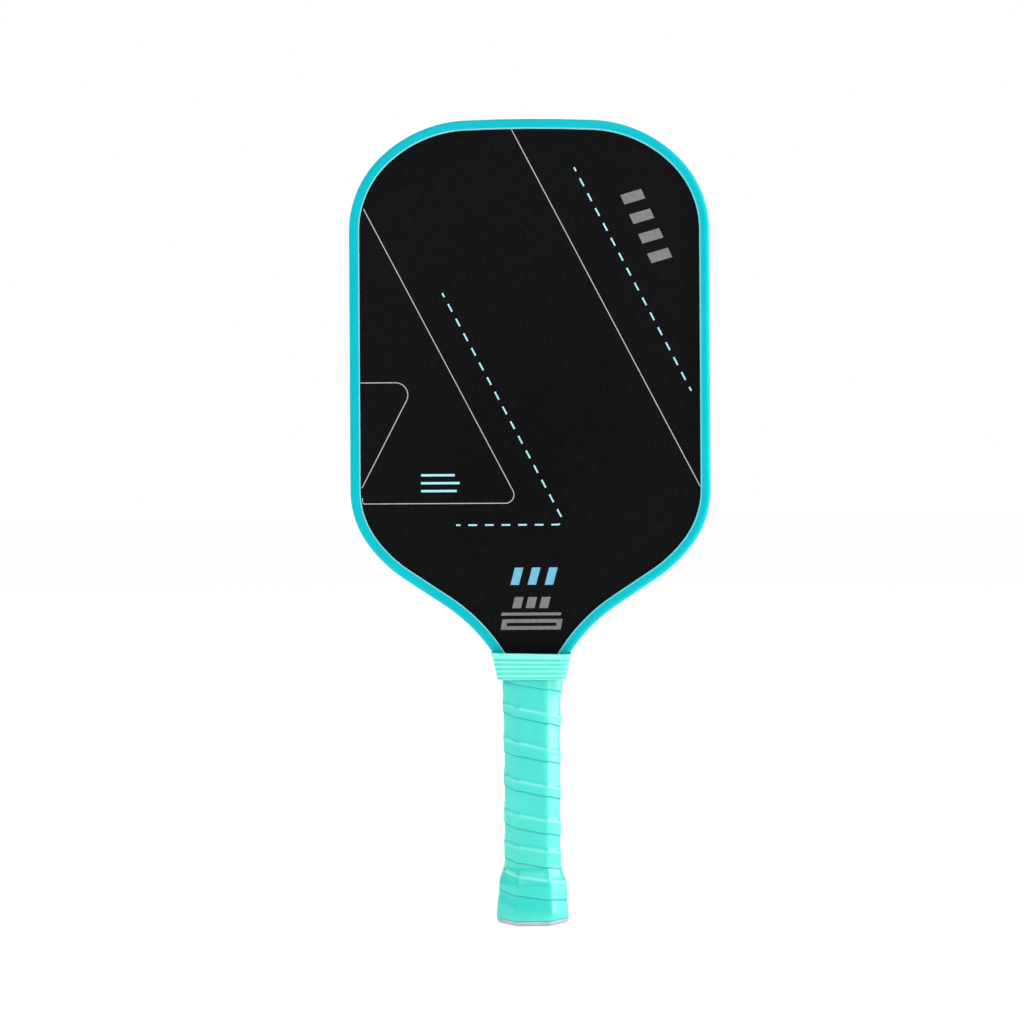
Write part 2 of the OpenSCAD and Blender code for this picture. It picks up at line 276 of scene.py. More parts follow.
def flare(z):
    """How far the handle stands out at height z; z may be an array."""
    z = np.asarray(z, dtype=float)
    steep = FLARE_GROW * (1 - np.cos(np.pi * (FLARE_TOP - z) / (FLARE_TOP - FLARE_KNEE))) / 2
    heel = FLARE_GROW + HEEL_GROW * np.minimum(1, (FLARE_KNEE - z) / (FLARE_KNEE - HEEL_Z))
    return np.where(z >= FLARE_TOP, 0, np.where(z >= FLARE_KNEE, steep, heel))


def throat_grow(z):
    return np.maximum(0, np.asarray(z, dtype=float) - THROAT_Z) * THROAT_SLOPE


def handle_corners(z, d):
    """The eight corners at height z, a distance d outside the shells, clockwise from above."""
    w = HALF_W + d + throat_grow(z)
    t = HALF_T + d + 0 * w
    leg = FACET + d * (2 - math.sqrt(2))
    return [(-w, leg - t), (-w, t - leg), (leg - w, t), (w - leg, t),
            (w, t - leg), (w, leg - t), (w - leg, -t), (leg - w, -t)]


def section_stations():
    """Stations round the section from the middle of corner 0: (corner, part, share of the part)."""
    stations = []
    for corner in range(8):
        stations += [(corner, "arc", i / CORNER_STEPS) for i in range(CORNER_STEPS + 1)]
        stations += [(corner, "flat", i / FLAT_STEPS) for i in range(1, FLAT_STEPS)]
    half = math.ceil(CORNER_STEPS / 2)
    return stations[half:] + stations[:half]


STATIONS = section_stations()


def station_point(station, z, d, corner_r):
    """Where a station lies at height z, a distance d outside the shells; z may be an array."""
    corner, part, share = station
    corners = handle_corners(z, d)

    def arc_point(c, s):
        """Point at share s of corner c's arc, which turns from facet c - 1 to facet c."""
        first = NORMALS[c - 1] if c else NORMALS[7] + 360
        px, py = corners[c]
        mx, my = cos(first - 22.5), sin(first - 22.5)
        cx = px - corner_r / cos(22.5) * mx
        cy = py - corner_r / cos(22.5) * my
        angle = first - 45 * s
        return cx + corner_r * cos(angle), cy + corner_r * sin(angle)

    if part == "arc":
        return arc_point(corner, share)
    x0, y0 = arc_point(corner, 1)
    x1, y1 = arc_point((corner + 1) % 8, 0)
    return x0 + (x1 - x0) * share, y0 + (y1 - y0) * share


def station_shares():
    """Share of the perimeter at each station, 0 at the first, and the perimeter."""
    points = [station_point(s, *MID_HANDLE) for s in STATIONS]
    steps = [math.dist(points[i], points[i - 1]) for i in range(1, len(points))]
    total = sum(steps) + math.dist(points[-1], points[0])
    shares = [0.0]
    for step in steps:
        shares.append(shares[-1] + step / total)
    return shares, total


SHARES, PERIMETER = station_shares()


def handle_ring(z, d, corner_r):
    ring = []
    for station in STATIONS:
        x, y = station_point(station, z, d, corner_r)
        ring.append((float(x), float(y), z))
    return ring


# ---------- Overgrip: one strip wound up the handle, each turn lapping the one below ----------
STRIP_W = 25.0
STRIP_T = 0.4
STRIP_BASE = 1.17            # from the shells out to what the strip lies on
STRIP_CORNER_R = 4.0
LAP_SLOPE = 2.0              # height over which the strip climbs over the edge beneath it
SOFT_SLOPE = 5               # how much longer that is where the turns lie smooth
RISE = 4                     # height over which the lowest turns go from smooth to raised
RIDGE = 0.3                  # how far the covered edge stands proud, as a share of STRIP_T
RIDGE_W = 1.1
CUT_ROWS = 3                 # rows of the strip's outside that belong to its cut lower edge
CUT_SHARE = 0.25             # thickness left at that edge, as a share of STRIP_T
EDGE_ROUND = 0.45            # height over which its lower edge rounds off
FIRST_TURN = -2.3
START_FADE = 0.03            # turns over which the first lap starts
TOP_GAP = 2                  # the winding stops with its lower edge this far below the top
# Heights of the strip's lower edge at the left of the front, turn by turn
TURN_HEIGHTS = (2.4, 17.1, 33.6, 51.4, 71.2, 88.8, 109.1, 125.9, 143.6)
# Rows across the strip: heights above its lower edge, then even steps to its upper edge
EDGE_ROWS = (0, 0.06, 0.14, 0.24, 0.36, 0.5, 0.8, 1.3)
EVEN_ROWS = 46
WRINKLE = 0.05
WRINKLE_LONG = 22            # size of a wrinkle along the strip and across it
WRINKLE_WIDE = 3.2
WRINKLE_SEED = 3.7
MEAN_RISE = 17.6             # climb of the strip in a turn
# Bunches below the collar: how far below, how far they stand off, and how tall they are
BUNCHES = ((4, 1.15, 6), (17, 0.4, 8))
BUNCH_X = 6                  # they begin this far from the middle and are full BUNCH_W further out
BUNCH_W = 8
BUNCH_LEFT = 0.7             # size of those on the left, as a share of those on the right
# Values for the material, painted shade in the creases and under the collar and a painted highlight on the
# ridges: how far below an edge each lies, and its spread
CREASE_SHADE = (0.1, 0.5)
RIDGE_HIGHLIGHT = (0.7, 0.6)
COLLAR_SHADE = (0.4, 0.5)
SHADE_SHARE = 0.8


def lower_edge(u):
    """Height of the strip's lower edge after u turns."""
    turn = math.floor(u)
    k = min(max(turn + 1, 0), len(TURN_HEIGHTS) - 2)
    rise = TURN_HEIGHTS[k + 1] - TURN_HEIGHTS[k]
    return TURN_HEIGHTS[k] + (turn + 1 - k) * rise + (u - turn) * rise


def strip_rows():
    """Shares of the strip's width at which it has a row, closer together near its lower edge."""
    last = EDGE_ROWS[-1]
    rows = [e / STRIP_W for e in EDGE_ROWS]
    rows += [(last + (STRIP_W - last) * i / EVEN_ROWS) / STRIP_W for i in range(1, EVEN_ROWS + 1)]
    return np.array(rows)


def wrinkle(z, u):
    """A small unevenness of the stretched strip, longer along the strip than across it."""
    along = (u * PERIMETER) / WRINKLE_LONG
    across = (z - MEAN_RISE * u) / WRINKLE_WIDE
    return WRINKLE * noise.noise(Vector((along, across, WRINKLE_SEED)))


def bunching(z, station):
    """How far the last turns stand off the sides of the handle where they bunch up below the collar."""
    x, _ = station_point(station, *MID_HANDLE)
    share = smoothstep((abs(float(x)) - BUNCH_X) / BUNCH_W) * (1.0 if x > 0 else BUNCH_LEFT)
    return share * sum(size * hump(z - COLLAR_BOTTOM + below, tall) for below, size, tall in BUNCHES)


def wound_columns():
    """Each column of the strip as (turns wound, number of its station), from its start to its end."""
    columns = []
    for turn in range(math.floor(FIRST_TURN), len(TURN_HEIGHTS)):
        for i, share in enumerate(SHARES):
            u = turn + share
            if lower_edge(u) > grip_high[2] - TOP_GAP:
                return columns
            if u >= FIRST_TURN:
                columns.append((u, i))
    return columns


def below_edge(z, edge, below, spread):
    """A value that is 1 just below an edge and fades within its spread."""
    return hump(z - edge + below, spread)


def strip_column(u, station, rows):
    """One column of the strip: its points outside and inside, and its values of painted shade in the
    creases and painted highlight on the ridges.
    """
    edge = lower_edge(u)
    z0 = max(edge, grip_low[2])
    z1 = min(edge + STRIP_W, grip_high[2])
    z = z0 + (z1 - z0) * rows
    under_top = min(lower_edge(u - 1) + STRIP_W, grip_high[2])
    started = smoothstep((u - 1 - FIRST_TURN) / START_FADE)
    risen = started * smoothstep((edge - 1) / RISE)
    slope = LAP_SLOPE + SOFT_SLOPE * (1 - risen)
    lap = np.array([smoothstep((under_top - h) / slope + 0.5) for h in z]) * started
    lap += RIDGE * risen * hump(under_top - RIDGE_W - z, RIDGE_W)
    ripple = np.array([wrinkle(h, u) for h in z])
    inside = STRIP_BASE + lap * STRIP_T + ripple + bunching(z, station)
    rounding = np.sqrt(np.clip(1 - ((EDGE_ROUND - (z - z0)).clip(0) / EDGE_ROUND) ** 2, 0, 1))
    outside = inside + STRIP_T * (CUT_SHARE + (1 - CUT_SHARE) * rounding)
    outer, inner = [list(zip(*station_point(station, z, d + flare(z), STRIP_CORNER_R), z))
                    for d in (outside, inside)]
    # painted shade: darker in the crevice just below the next turn's lower edge, plus a painted shadow
    # just below the collar
    crease_shade = below_edge(z, lower_edge(u + 1), *CREASE_SHADE)
    crease_shade = crease_shade + SHADE_SHARE * below_edge(z, COLLAR_BOTTOM, *COLLAR_SHADE)
    # painted highlight: lighter just below the top edge of the turn beneath, where the covered edge stands
    # proud
    ridge_highlight = risen * below_edge(z, under_top, *RIDGE_HIGHLIGHT)
    return outer, inner, list(crease_shade), list(ridge_highlight)


def sheet_faces(m, n):
    """Faces of a closed sheet: m columns of n points outside, then as many inside."""
    faces = []
    shift = m * n
    for c in range(m - 1):
        for r in range(n - 1):
            a = c * n + r
            faces.append((a, a + n, a + n + 1, a + 1))
            faces.append((shift + a, shift + a + 1, shift + a + n + 1, shift + a + n))
        for r in (0, n - 1):
            a = c * n + r
            faces.append((a, shift + a, shift + a + n, a + n))
    for c in (0, m - 1):
        for r in range(n - 1):
            a = c * n + r
            faces.append((a, a + 1, shift + a + 1, shift + a))
    return faces


def make_overgrip():
    rows = strip_rows()
    columns = wound_columns()
    n = len(rows)
    shift = len(columns) * n
    outer, inner, crease_shade, ridge_highlight = zip(*[strip_column(u, STATIONS[i], rows) for u, i in columns])
    points = [p for column in outer + inner for p in column]
    strip = add_mesh("overgrip_strip", points, sheet_faces(len(columns), n), sharp=60)
    # painted shade in the creases and painted highlight on the ridges, on the outside only
    for name, values in (("crease_shade", crease_shade), ("ridge_highlight", ridge_highlight)):
        add_values(strip, name, [v for column in values for v in column] + [0.0] * shift)
    # the strip's lower edge and underside are its cut, matt side
    for polygon in strip.data.polygons:
        polygon.material_index = int(any(v >= shift or v % n < CUT_ROWS for v in polygon.vertices))
    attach(strip, "paddle")
    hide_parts("overgrip")
    return strip


# ---------- Finishing tape round the overgrip's top end ----------
TAPE_INSIDE = 2.03
TAPE_T = 0.15
TAPE_SINK = 0.02             # how far its underside lies within its inside
TAPE_CORNER_R = 2.0


def make_finishing_tape():
    thickness = [0] + [TAPE_T] * 7 + [0]
    heights = np.linspace(tape_low[2], tape_high[2], len(thickness))
    rings = [handle_ring(z, TAPE_INSIDE + t, TAPE_CORNER_R) for z, t in zip(heights, thickness)]
    rings += [handle_ring(z, TAPE_INSIDE - TAPE_SINK, TAPE_CORNER_R) for z in reversed(heights)]
    tape = add_mesh("finishing_tape_band", *join_rings(rings, loop=True), sharp=60)
    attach(tape, "paddle")
    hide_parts("overgrip_tape")
    return tape


# ---------- Collar ----------
COLLAR_SLOPE = 0.2279
COLLAR_FLAT = 29.4
COLLAR_WALL = 1.3
RIM_WALL = 0.9
RIM_R = 0.5
MOUTH_DEPTH = 1.9
RIM_BAND = 3.2
RIB_PITCH = 2.35
RIB_DEPTH = 0.6
RIB_FULLNESS = 1.3           # higher values make the ribs rounder and the grooves wider
RIB_STEPS = 14
COLLAR_TILT = 0.022
COLLAR_SAG = 0.2             # how far the middle of the top rim sits below the CAD's rim
COLLAR_SPAN = COLLAR_TOP - COLLAR_BOTTOM


def collar_ring(z, inset):
    """One ring of the collar, tilted by COLLAR_TILT at the top and less lower down."""
    low_share = (z - COLLAR_BOTTOM) / COLLAR_SPAN
    w = collar_high[0] - (COLLAR_TOP - z) * COLLAR_SLOPE - inset
    t = collar_high[1] - inset
    a = w - COLLAR_FLAT / 2 + inset / 2
    b = a * 1.1
    ring = []
    for sx, sy, start in ((1, -1, 270), (1, 1, 0), (-1, 1, 90), (-1, -1, 180)):
        for x, y in arc(0, 0, 1, start, 90, 12):
            x = sx * (w - a) + a * x
            y = sy * (t - b) + b * y
            ring.append((x, y, z - COLLAR_SAG * low_share - COLLAR_TILT * low_share * x))
    return ring


def collar_outside():
    """The collar's outside from its rim down to its bottom edge, as (height, inset)."""
    profile = [(COLLAR_TOP - RIM_R * (1 - cos(a)), RIM_R * (1 - sin(a))) for a in range(0, 91, 15)]
    z = COLLAR_TOP - RIM_BAND + 0.5
    while z > COLLAR_BOTTOM + 0.35:
        below = COLLAR_TOP - RIM_BAND - z
        groove = 1 - abs(sin(180 * below / RIB_PITCH)) ** RIB_FULLNESS
        if below < -0.3:
            groove = 0
        profile.append((z, RIB_DEPTH * groove))
        z -= RIB_PITCH / RIB_STEPS
    return profile + [(COLLAR_BOTTOM + 0.2, 0.1), (COLLAR_BOTTOM + 0.06, 0.25), (COLLAR_BOTTOM, 0.45)]


def make_collar():
    outside = collar_outside()
    inside = [(COLLAR_BOTTOM, COLLAR_WALL), (COLLAR_BOTTOM + COLLAR_SPAN / 2, COLLAR_WALL),
              (COLLAR_TOP - MOUTH_DEPTH, COLLAR_WALL), (COLLAR_TOP, RIM_WALL)]
    rings = [collar_ring(z, inset) for z, inset in outside + inside]
    collar = add_mesh("collar_ring", *join_rings(rings, loop=True), sharp=60)
    # painted shade: how deep each point lies in a rib groove, which darkens the colour there
    depth = [min(1, inset / RIB_DEPTH) if COLLAR_BOTTOM + 0.3 < z < COLLAR_TOP - 1 else 0
             for z, inset in outside] + [0] * len(inside)
    add_values(collar, "groove", [v for v in depth for _ in rings[0]])
    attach(collar, "collar")
    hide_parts("grip_collar")
    return collar


# ---------- Butt cap and badge ----------
CAP_CORNER_R = 3.0
CAP_RIM_R = 1.4
CAP_RIM_OUT = float(flare(0)) + 1.6
CAP_RIM_Z = grip_low[2] - 0.05
CAP_FLOOR = 3.0
CAP_FIT = 0.05               # gap round the shells inside the cap
RECESS_DEPTH = 0.8
RECESS_EDGE = 0.25
FOOT_SHADOW_Z = 0.75                # height over which the painted shadow where it stands fades
DISC_SIDES = 96


def bridge(points, outer, inner):
    """Triangles between two closed loops round the Z axis, matched by angle."""
    def ordered(loop):
        return sorted(loop, key=lambda i: math.atan2(points[i][1], points[i][0]))

    def angle(loop, k):
        p = points[loop[k % len(loop)]]
        return math.atan2(p[1], p[0]) + 2 * math.pi * (k // len(loop))

    a_loop = ordered(outer)
    b_loop = ordered(inner)
    triangles = []
    a = b = 0
    while a < len(a_loop) or b < len(b_loop):
        step_a = b >= len(b_loop) or (a < len(a_loop) and angle(a_loop, a + 1) <= angle(b_loop, b + 1))
        pa = a_loop[a % len(a_loop)]
        pb = b_loop[b % len(b_loop)]
        if step_a:
            triangles.append((pa, a_loop[(a + 1) % len(a_loop)], pb))
            a += 1
        else:
            triangles.append((pa, b_loop[(b + 1) % len(b_loop)], pb))
            b += 1
    return triangles


def cap_profile():
    """The cap from its end face up its rim and skirt, then down its inside: (height, distance)."""
    profile = []
    for i in range(9):
        a = 90 * i / 8
        profile.append((CAP_RIM_R * (1 - cos(a)), CAP_RIM_OUT - CAP_RIM_R * (1 - sin(a))))
    profile += [(CAP_RIM_Z - 0.1, CAP_RIM_OUT), (CAP_RIM_Z, CAP_RIM_OUT - 0.12)]
    profile += [(z, float(flare(z))) for z in np.linspace(CAP_RIM_Z + 0.05, cap_high[2], 24)]
    return profile + [(cap_high[2], CAP_FIT), (CAP_FLOOR, CAP_FIT)]


def make_butt_cap():
    rings = [handle_ring(z, d, CAP_CORNER_R) for z, d in cap_profile()]
    points, faces = join_rings(rings, ends=False)
    count = len(STATIONS)
    top = (len(rings) - 1) * count
    faces.append(tuple(top + i for i in range(count)))
    # the round recess in the end face, from its edge up to its floor
    recess_r = badge_high[0] + 0.1
    start = len(points)
    for radius, z in ((recess_r + RECESS_EDGE, 0), (recess_r, RECESS_EDGE), (recess_r, RECESS_DEPTH)):
        points += circle(radius, z, DISC_SIDES)
    for ring in range(2):
        for k in range(DISC_SIDES):
            a = start + ring * DISC_SIDES + k
            b = start + ring * DISC_SIDES + (k + 1) % DISC_SIDES
            faces.append((a, b, b + DISC_SIDES, a + DISC_SIDES))
    faces.append(tuple(start + 2 * DISC_SIDES + k for k in range(DISC_SIDES)))
    faces += bridge(points, list(range(count)), list(range(start, start + DISC_SIDES)))
    cap = add_mesh("butt_cap_moulding", points, faces, sharp=40)
    # painted shadow: darkest at the end face, fading up the rim
    add_values(cap, "foot_shadow", [float(hump(p[2], FOOT_SHADOW_Z)) for p in points])
    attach(cap, "paddle")
    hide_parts("butt_cap")
    return cap


def make_badge():
    """A blank domed disc with a raised rim line."""
    r = badge_high[0]
    z0 = badge_low[2]
    z1 = badge_high[2]
    profile = [(r, z1), (r, z0 + 0.12), (r - 0.05, z0 + 0.04), (r - 0.15, z0), (r - 0.9, z0),
               (r - 1.1, z0 + 0.12), (r - 1.3, z0 + 0.14)]
    profile += [((r - 1.3) * cos(90 * i / 8), z0 + 0.14 - 0.14 * sin(90 * i / 8)) for i in range(1, 8)]
    rings = [circle(radius, z, DISC_SIDES) for radius, z in profile]
    badge = add_mesh("butt_badge_disc", *join_rings(rings), sharp=40)
    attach(badge, "paddle")
    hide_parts("butt_badge")
    return badge


# ---------- Printed marks: thin ink films on the faces ----------
INK_T = 0.04
INK_SINK = 0.005             # how far a film reaches into the face
LINE_W = 0.46
DASH_W = 0.85
DASH_LEN = 4.5
DASH_PITCH = 8.8
# Paths as points (x, z), and the radii of their inner corners
LONG_LINE = [(-9.0, 412.2), (88.2, 225.8)]
INNER_LINE = [(-86.0, 371.1), (-5.8, 217.8), (-87.4, 217.8), (-87.4, 221)]
INNER_ROUND = [4.4, 1.2]
SIDE_LINE = [(-87.6, 226.1), (-59.4, 280.7), (-88.2, 280.7)]
SIDE_ROUND = [6.4]
UPPER_DASHES = [(23.5, 392.1), (83.8, 275.6)]
LOWER_DASHES = [(-45.3, 327.1), (18.0, 206.5), (-38.8, 206.5)]
LOWER_ROUND = [2.6]
ROUND_STEPS = 12


def rounded_path(points, radii):
    """A path through points whose inner corners are rounded by radii."""
    path = [points[0]]
    for k in range(1, len(points) - 1):
        p = Vector(points[k])
        back = (Vector(points[k - 1]) - p).normalized()
        ahead = (Vector(points[k + 1]) - p).normalized()
        half = back.angle(ahead) / 2
        centre = p + (back + ahead).normalized() * radii[k - 1] / math.sin(half)
        start = p + back * radii[k - 1] / math.tan(half) - centre
        turn = math.copysign(math.pi - 2 * half, back.x * ahead.y - back.y * ahead.x)
        for i in range(ROUND_STEPS + 1):
            spin = Matrix.Rotation(-turn * i / ROUND_STEPS, 2)
            path.append(tuple(centre + spin @ start))
    path.append(points[-1])
    return path


def path_length(path):
    return sum(math.dist(path[i], path[i + 1]) for i in range(len(path) - 1))


def cut_path(path, start, end):
    """The stretch of a path between two distances along it."""
    cut = []
    done = 0.0
    for i in range(len(path) - 1):
        a = Vector(path[i])
        b = Vector(path[i + 1])
        step = (b - a).length
        if done + step > start and done < end:
            cut.append(tuple(a.lerp(b, max(0.0, (start - done) / step))))
            if done + step >= end:
                cut.append(tuple(a.lerp(b, (end - done) / step)))
        done += step
    return cut


def line_outline(path, width):
    """The closed outline of a line of that width along a path."""
    left = []
    right = []
    for i, p in enumerate(path):
        p = Vector(p)
        before = Vector(path[max(0, i - 1)])
        after = Vector(path[min(len(path) - 1, i + 1)])
        along = (after - before).normalized()
        side = Vector((-along.y, along.x)) * width / 2
        left.append(tuple(p + side))
        right.append(tuple(p - side))
    return left + right[::-1]


def slanted_bar(x, z, width, height, lean):
    """A bar standing on (x, z), leaning to the right by lean over its height."""
    return [(x, z), (x + width, z), (x + width + lean, z + height), (x + lean, z + height)]


def turned(outline, origin, degrees):
    ox, oz = origin
    return [(ox + x * cos(degrees) - z * sin(degrees), oz + x * sin(degrees) + z * cos(degrees))
            for x, z in outline]


def thin_lines():
    return [line_outline(LONG_LINE, LINE_W),
            line_outline(rounded_path(INNER_LINE, INNER_ROUND), LINE_W),
            line_outline(rounded_path(SIDE_LINE, SIDE_ROUND), LINE_W)]


def dashes():
    """Dashes centred on even steps along their paths, so that each path ends in half a dash."""
    shapes = []
    for path in (UPPER_DASHES, rounded_path(LOWER_DASHES, LOWER_ROUND)):
        length = path_length(path)
        gaps = round(length / DASH_PITCH)
        for k in range(gaps + 1):
            middle = length * k / gaps
            start = max(0, middle - DASH_LEN / 2)
            end = min(length, middle + DASH_LEN / 2)
            shapes.append(line_outline(cut_path(path, start, end), DASH_W))
    return shapes


def grey_marks():
    """Four slanted bars down beside the upper dashes, and three over a rule above the collar."""
    shapes = [turned(slanted_bar(2 + 11.2 * k, -5.6, 5.4, 11.2, 1.6), (51.7, 381.7), -65.7)
              for k in range(4)]
    shapes += [slanted_bar(-9.95 + 7 * k, 163.2, 4.6, 5.8, 1.4) for k in range(3)]
    shapes.append(slanted_bar(-15.8, 159.4, 31, 1.5, 0.5))
    return shapes


def plate_marks():
    """A slotted plate under the rule, as the four sides of its frame."""
    x, z, w, h, lean, rim = -16.0, 152.0, 31.2, 5.5, 1.0, 1.9
    outer = slanted_bar(x, z, w, h, lean)
    inner = slanted_bar(x + 3, z + rim, w - 5.4, h - 2 * rim, lean / 3)
    return [[outer[i], outer[(i + 1) % 4], inner[(i + 1) % 4], inner[i]] for i in range(4)]


def blue_marks():
    """Three short level rules inside the inner line's corner."""
    return [slanted_bar(-56.9, 231.9 - 4.1 * k, width, 1.2, 0)
            for k, width in enumerate((17.5, 20, 18.5))]


def wide_marks():
    """Three wide bars in the throat."""
    return [slanted_bar(-10.8 + 8.9 * k, 175.3, 4.4, 9, 2.4) for k in range(3)]


def film(shapes):
    """Points and faces of flat shapes, each a closed outline in (x, z), as films on the face."""
    points = []
    faces = []
    for outline in shapes:
        n = len(outline)
        base = len(points)
        points += [(x, FACE_Y + INK_SINK, z) for x, z in outline]
        points += [(x, FACE_Y - INK_T, z) for x, z in outline]
        faces.append(tuple(base + i for i in range(n)))
        faces.append(tuple(base + n + i for i in reversed(range(n))))
        faces += [(base + i, base + (i + 1) % n, base + n + (i + 1) % n, base + n + i)
                  for i in range(n)]
    return points, faces


def make_print(name, shapes, side):
    """Ink shapes on the front (side 1), or turned half round the Z axis onto the back (-1)."""
    points, faces = film(shapes)
    points = [(side * x, side * y, z) for x, y, z in points]
    ink = add_mesh(f"{name}_{'front' if side > 0 else 'back'}", points, faces, sharp=30)
    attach(ink, "paddle")
    return ink


# ---------- Materials ----------
class Surface:
    """One material under construction, with its texture coordinates in metres."""

    def __init__(self, name, color, roughness, specular=0.5):
        self.mat = bpy.data.materials.new(name)
        self.mat.use_nodes = True
        self.tree = self.mat.node_tree
        self.shader = self.tree.nodes["Principled BSDF"]
        self.set("Base Color", (*color, 1))
        self.set("Roughness", roughness)
        self.set("Specular IOR Level", specular)
        self.where = self.tree.nodes.new("ShaderNodeTexCoord").outputs["Object"]
        self.height = None

    def set(self, socket, value):
        self.shader.inputs[socket].default_value = value

    def link(self, source, target):
        self.tree.links.new(source, target)

    def scaled(self, scale):
        """Coordinates multiplied by scale, given per axis in features per metre."""
        node = self.tree.nodes.new("ShaderNodeMapping")
        node.inputs["Scale"].default_value = scale
        self.link(self.where, node.inputs["Vector"])
        return node.outputs["Vector"]

    def noise(self, scale, detail=2.0, rough=0.5):
        node = self.tree.nodes.new("ShaderNodeTexNoise")
        node.inputs["Scale"].default_value = 1
        node.inputs["Detail"].default_value = detail
        node.inputs["Roughness"].default_value = rough
        self.link(self.scaled(scale), node.inputs["Vector"])
        return node.outputs["Fac"]

    def wave(self, per_metre, direction):
        node = self.tree.nodes.new("ShaderNodeTexWave")
        node.bands_direction = direction
        node.inputs["Scale"].default_value = per_metre * math.pi / 10
        self.link(self.where, node.inputs["Vector"])
        return node.outputs["Fac"]

    def math(self, kind, a, b):
        node = self.tree.nodes.new("ShaderNodeMath")
        node.operation = kind
        for socket, value in zip(node.inputs, (a, b)):
            if isinstance(value, (int, float)):
                socket.default_value = value
            else:
                self.link(value, socket)
        return node.outputs["Value"]

    def spread(self, source, low, high, from_low=0.3, from_high=0.7):
        """Source mapped from its usual range to low..high."""
        node = self.tree.nodes.new("ShaderNodeMapRange")
        for name, value in (("From Min", from_low), ("From Max", from_high),
                            ("To Min", low), ("To Max", high)):
            node.inputs[name].default_value = value
        self.link(source, node.inputs["Value"])
        return node.outputs["Result"]

    def blend(self, share, a, b):
        """Colour a where share is 0 and b where it is 1; each a colour or a socket."""
        node = self.tree.nodes.new("ShaderNodeMix")
        node.data_type = "RGBA"
        self.link(share, node.inputs["Factor"])
        for socket, value in ((node.inputs[6], a), (node.inputs[7], b)):
            if isinstance(value, tuple):
                socket.default_value = (*value, 1)
            else:
                self.link(value, socket)
        return node.outputs[2]

    def marked(self, name, share, body, mark):
        """Body, tinted with mark by that share where the piece's values called name are 1."""
        return self.blend(self.math("MULTIPLY", self.attribute(name), share), body, mark)

    def color(self, source):
        self.link(source, self.shader.inputs["Base Color"])

    def roughness(self, source):
        self.link(source, self.shader.inputs["Roughness"])

    def bump(self, source, depth_mm, strength=0.5):
        """Adds a relief of that depth; several add up."""
        node = self.tree.nodes.new("ShaderNodeBump")
        node.inputs["Strength"].default_value = strength
        node.inputs["Distance"].default_value = depth_mm * MM
        self.link(source, node.inputs["Height"])
        if self.height is not None:
            self.link(self.height, node.inputs["Normal"])
        self.height = node.outputs["Normal"]
        self.link(self.height, self.shader.inputs["Normal"])

    def attribute(self, name):
        node = self.tree.nodes.new("ShaderNodeAttribute")
        node.attribute_name = name
        return node.outputs["Fac"]


def carbon_face():
    """Raw woven carbon with a fine peel texture, matt and slightly streaked."""
    s = Surface("carbon_face", (0.0045, 0.0046, 0.005), 0.62, specular=0.06)
    streaks = s.noise((1500, 1500, 150))
    threads = s.noise((420, 420, 2600), detail=1)
    cloud = s.noise((9, 9, 6), detail=3)
    warp = s.wave(1400, "X")
    weft = s.wave(1400, "Z")
    cloth = s.math("MULTIPLY", warp, weft)
    tone = s.math("ADD", s.math("MULTIPLY", streaks, 0.6), s.math("MULTIPLY", threads, 0.4))
    tone = s.math("ADD", s.math("MULTIPLY", tone, 0.75), s.math("MULTIPLY", cloud, 0.25))
    tone = s.spread(tone, 0, 1, 0.36, 0.64)
    s.color(s.blend(tone, (0.0002, 0.0003, 0.0005), (0.0054, 0.0056, 0.0064)))
    s.roughness(s.spread(streaks, 0.55, 0.72))
    s.bump(cloth, 0.012)
    s.bump(streaks, 0.02)
    return s.mat


def guard_rubber():
    """Turquoise moulded elastomer, satin, with a faint orange peel and mould haze, and a painted highlight
    along its inner bead.
    """
    s = Surface("guard_rubber", (0.003, 0.49, 0.57), 0.38, specular=0.06)
    cloud = s.noise((22, 22, 22), detail=3)
    peel = s.noise((1600, 1600, 1600))
    body = s.blend(s.spread(cloud, 0, 1), (0.001, 0.44, 0.51), (0.003, 0.49, 0.56))
    # painted highlight along the inner bead
    s.color(s.marked("bead_highlight", 0.4, body, (0.55, 0.86, 0.90)))
    s.roughness(s.spread(peel, 0.33, 0.45))
    s.bump(peel, 0.012)
    return s.mat


def collar_rubber():
    """Soft ribbed rubber, pale mint, slightly powdery, with painted shade in its grooves."""
    s = Surface("collar_rubber", (0.2, 0.88, 0.76), 0.5, specular=0.4)
    cloud = s.noise((60, 60, 60), detail=3)
    grain = s.noise((2600, 2600, 2600))
    body = s.blend(s.spread(cloud, 0, 1), (0.19, 0.83, 0.70), (0.25, 0.88, 0.76))
    # painted shade darkening the grooves
    s.color(s.marked("groove", 0.7, body, (0.02, 0.66, 0.53)))
    s.roughness(s.spread(grain, 0.45, 0.58))
    s.bump(grain, 0.01)
    s.set("Subsurface Weight", 0.06)
    s.set("Subsurface Radius", (0.001, 0.002, 0.002))
    return s.mat


